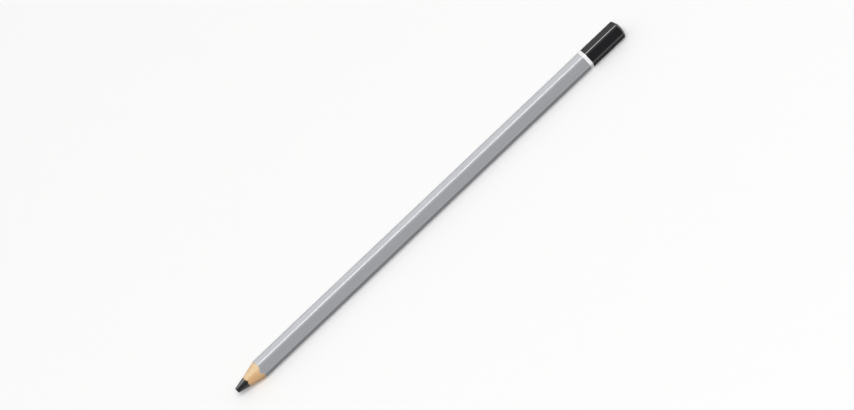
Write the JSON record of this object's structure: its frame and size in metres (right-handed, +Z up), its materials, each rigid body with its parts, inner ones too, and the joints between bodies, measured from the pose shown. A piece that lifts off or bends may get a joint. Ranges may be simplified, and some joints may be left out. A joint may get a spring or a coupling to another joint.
{
  "type": "china marker pencil",
  "caption": "Hexagonal wood-cased marking pencil with a thick black wax lead, sharpened to a blunt point, grey lacquer, and a dipped black end behind a white ring.",
  "frame": {"origin": "under the middle of the pencil, on the plane that its lowest flat rests on", "axes": "+X along the pencil from the sharpened tip to the dipped end, +Y across it through two corners of the hexagon, +Z up, square to the flat that it lies on"},
  "size_m": [0.175, 0.007, 0.0065],
  "materials": {
    "wax_lead": "waxy black, cut to a soft sheen",
    "wood": "pale bare wood, cut across the grain by a sharpener",
    "glue": "dried wood glue",
    "primer": "matt filler",
    "grey_lacquer": "silver-grey lacquer with a satin gloss",
    "white_lacquer": "glossy white dip lacquer",
    "black_lacquer": "glossy black dip lacquer"
  },
  "bodies": {
    "root": {"lead": "wax_lead", "upper_slat": "wood", "lower_slat": "wood", "glue_film": "glue", "primer_coat": "primer", "grey_lacquer": "grey_lacquer", "white_dip": "white_lacquer", "black_cap": "black_lacquer"}
  },
  "joints": []
}
